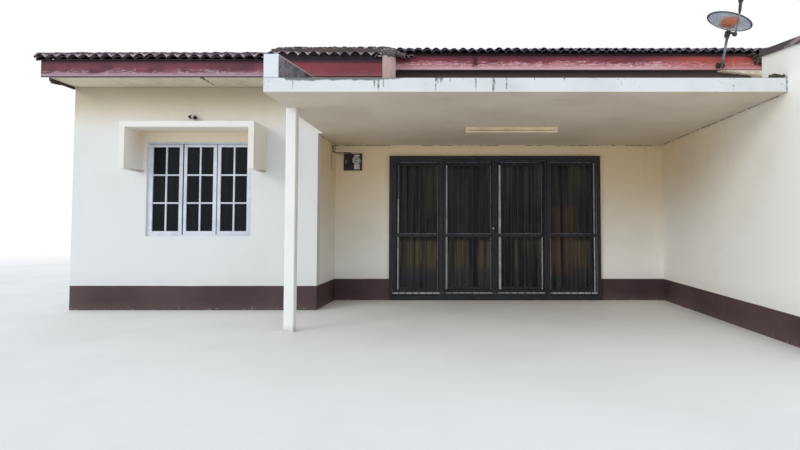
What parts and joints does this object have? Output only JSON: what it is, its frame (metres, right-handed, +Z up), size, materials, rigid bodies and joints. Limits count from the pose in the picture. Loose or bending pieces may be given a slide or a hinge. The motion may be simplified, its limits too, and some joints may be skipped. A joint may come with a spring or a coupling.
{
  "type": "single-storey terraced house",
  "caption": "Single-storey tiled house with a front room, a porch under a flat concrete canopy, a hinged steel grille and sliding glass doors.",
  "frame": {"origin": "on the ground, under the middle of the whole house", "axes": "+X to the right along the front, +Y from the street into the house, +Z up"},
  "size_m": [10.55, 12.36, 5.0878],
  "materials": {
    "wall_plaster": "painted plaster, cream over a dark brown band",
    "concrete": "painted concrete with black stains",
    "roof_tiles": "weathered brown tiles",
    "fascia_paint": "peeling maroon paint on timber",
    "soffit_board": "painted sheet",
    "window_paint": "pale grey paint",
    "window_glass": "clear glass before a dark room",
    "door_aluminium": "white coated aluminium",
    "grille_paint": "black paint on steel",
    "lamp_white": "white lamp",
    "board_plastic": "dark board with pale fittings",
    "dish_metal": "grey paint with a rust patch",
    "mast_steel": "galvanised pipe"
  },
  "bodies": {
    "house": {"front_wall": "wall_plaster", "gable_wall": "wall_plaster", "rear_wall": "wall_plaster", "porch_side_wall": "wall_plaster", "entrance_wall_left": "wall_plaster", "entrance_wall_right": "wall_plaster", "entrance_wall_top": "wall_plaster", "party_wall": "wall_plaster", "wing_wall": "wall_plaster", "floor_slab": "concrete", "porch_canopy": "concrete", "canopy_kerb": "concrete", "porch_column": "concrete", "window_hood": "concrete", "roof_left_front": "roof_tiles", "roof_left_rear": "roof_tiles", "roof_right_front": "roof_tiles", "roof_right_rear": "roof_tiles", "ridge_cap": "roof_tiles", "tilting_fillet": "roof_tiles", "wing_wall_coping": "roof_tiles", "front_fascia": "fascia_paint", "porch_fascia": "fascia_paint", "rear_fascia": "fascia_paint", "gable_bargeboard": "fascia_paint", "eaves_return_board": "fascia_paint", "front_soffit": "soffit_board", "rear_soffit": "soffit_board", "ceiling": "soffit_board", "front_window_frame": "window_paint", "front_window_casements": "window_paint", "plain_window_frame": "window_paint", "plain_window_casements": "window_paint", "front_window_glass": "window_glass", "plain_window_glass": "window_glass", "fixed_door_glass": "window_glass", "door_frame": "door_aluminium", "fixed_door_panels": "door_aluminium", "grille_frame": "grille_paint", "grille_side_left": "grille_paint", "grille_side_right": "grille_paint", "wall_spotlight": "grille_paint", "porch_lamp": "lamp_white", "meter_board": "board_plastic", "cable_bracket": "board_plastic", "dish_reflector": "dish_metal", "dish_mast": "mast_steel", "dish_arm": "mast_steel"},
    "left_grille_leaf": {"grille_leaf_left": "grille_paint", "grille_lock": "grille_paint"},
    "right_grille_leaf": {"grille_leaf_right": "grille_paint"},
    "left_glass_door": {"sliding_door_left": "door_aluminium", "sliding_door_glass_left": "window_glass"},
    "right_glass_door": {"sliding_door_right": "door_aluminium", "sliding_door_glass_right": "window_glass"}
  },
  "joints": [
    {"name": "left_grille_hinge", "type": "hinge", "parent": "house", "child": "left_grille_leaf", "pos_m": [0.0385, -1.949, 1.15], "axis": [0, 0, -1], "range_deg": [0, 95]},
    {"name": "right_grille_hinge", "type": "hinge", "parent": "house", "child": "right_grille_leaf", "pos_m": [1.6805, -1.949, 1.15], "axis": [0, 0, 1], "range_deg": [0, 95]},
    {"name": "left_glass_slide", "type": "slide", "parent": "house", "child": "left_glass_door", "axis": [-1, 0, 0], "range_m": [0, 0.74]},
    {"name": "right_glass_slide", "type": "slide", "parent": "house", "child": "right_glass_door", "axis": [1, 0, 0], "range_m": [0, 0.74]}
  ]
}
